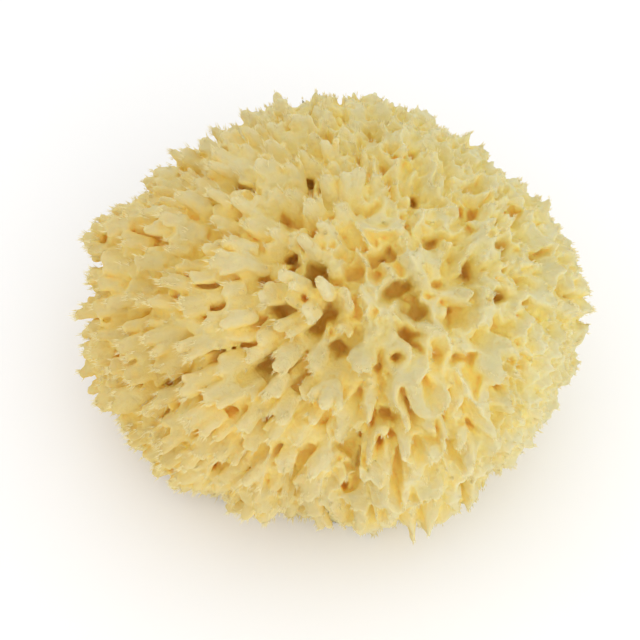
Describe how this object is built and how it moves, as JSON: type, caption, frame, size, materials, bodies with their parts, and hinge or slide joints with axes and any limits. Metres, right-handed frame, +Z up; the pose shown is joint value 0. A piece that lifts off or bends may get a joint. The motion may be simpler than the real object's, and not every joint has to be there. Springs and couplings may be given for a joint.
{
  "type": "natural sea sponge",
  "caption": "Bun-shaped natural bath sponge, pale yellow, shaggy all over with soft tufts and sunken water outlets, cut flat underneath to rest on a shelf or tub edge.",
  "frame": {"origin": "middle of the flat cut base", "axes": "+Z up out of the cut base, +X along the sponge's longest width, +Y towards its back"},
  "size_m": [0.14, 0.122, 0.088],
  "materials": {
    "sponge_fibre": "matt, soft fibrous sponge, pale cream on the tufts and golden in the hollows"
  },
  "bodies": {
    "root": {"sponge": "sponge_fibre"}
  },
  "joints": []
}
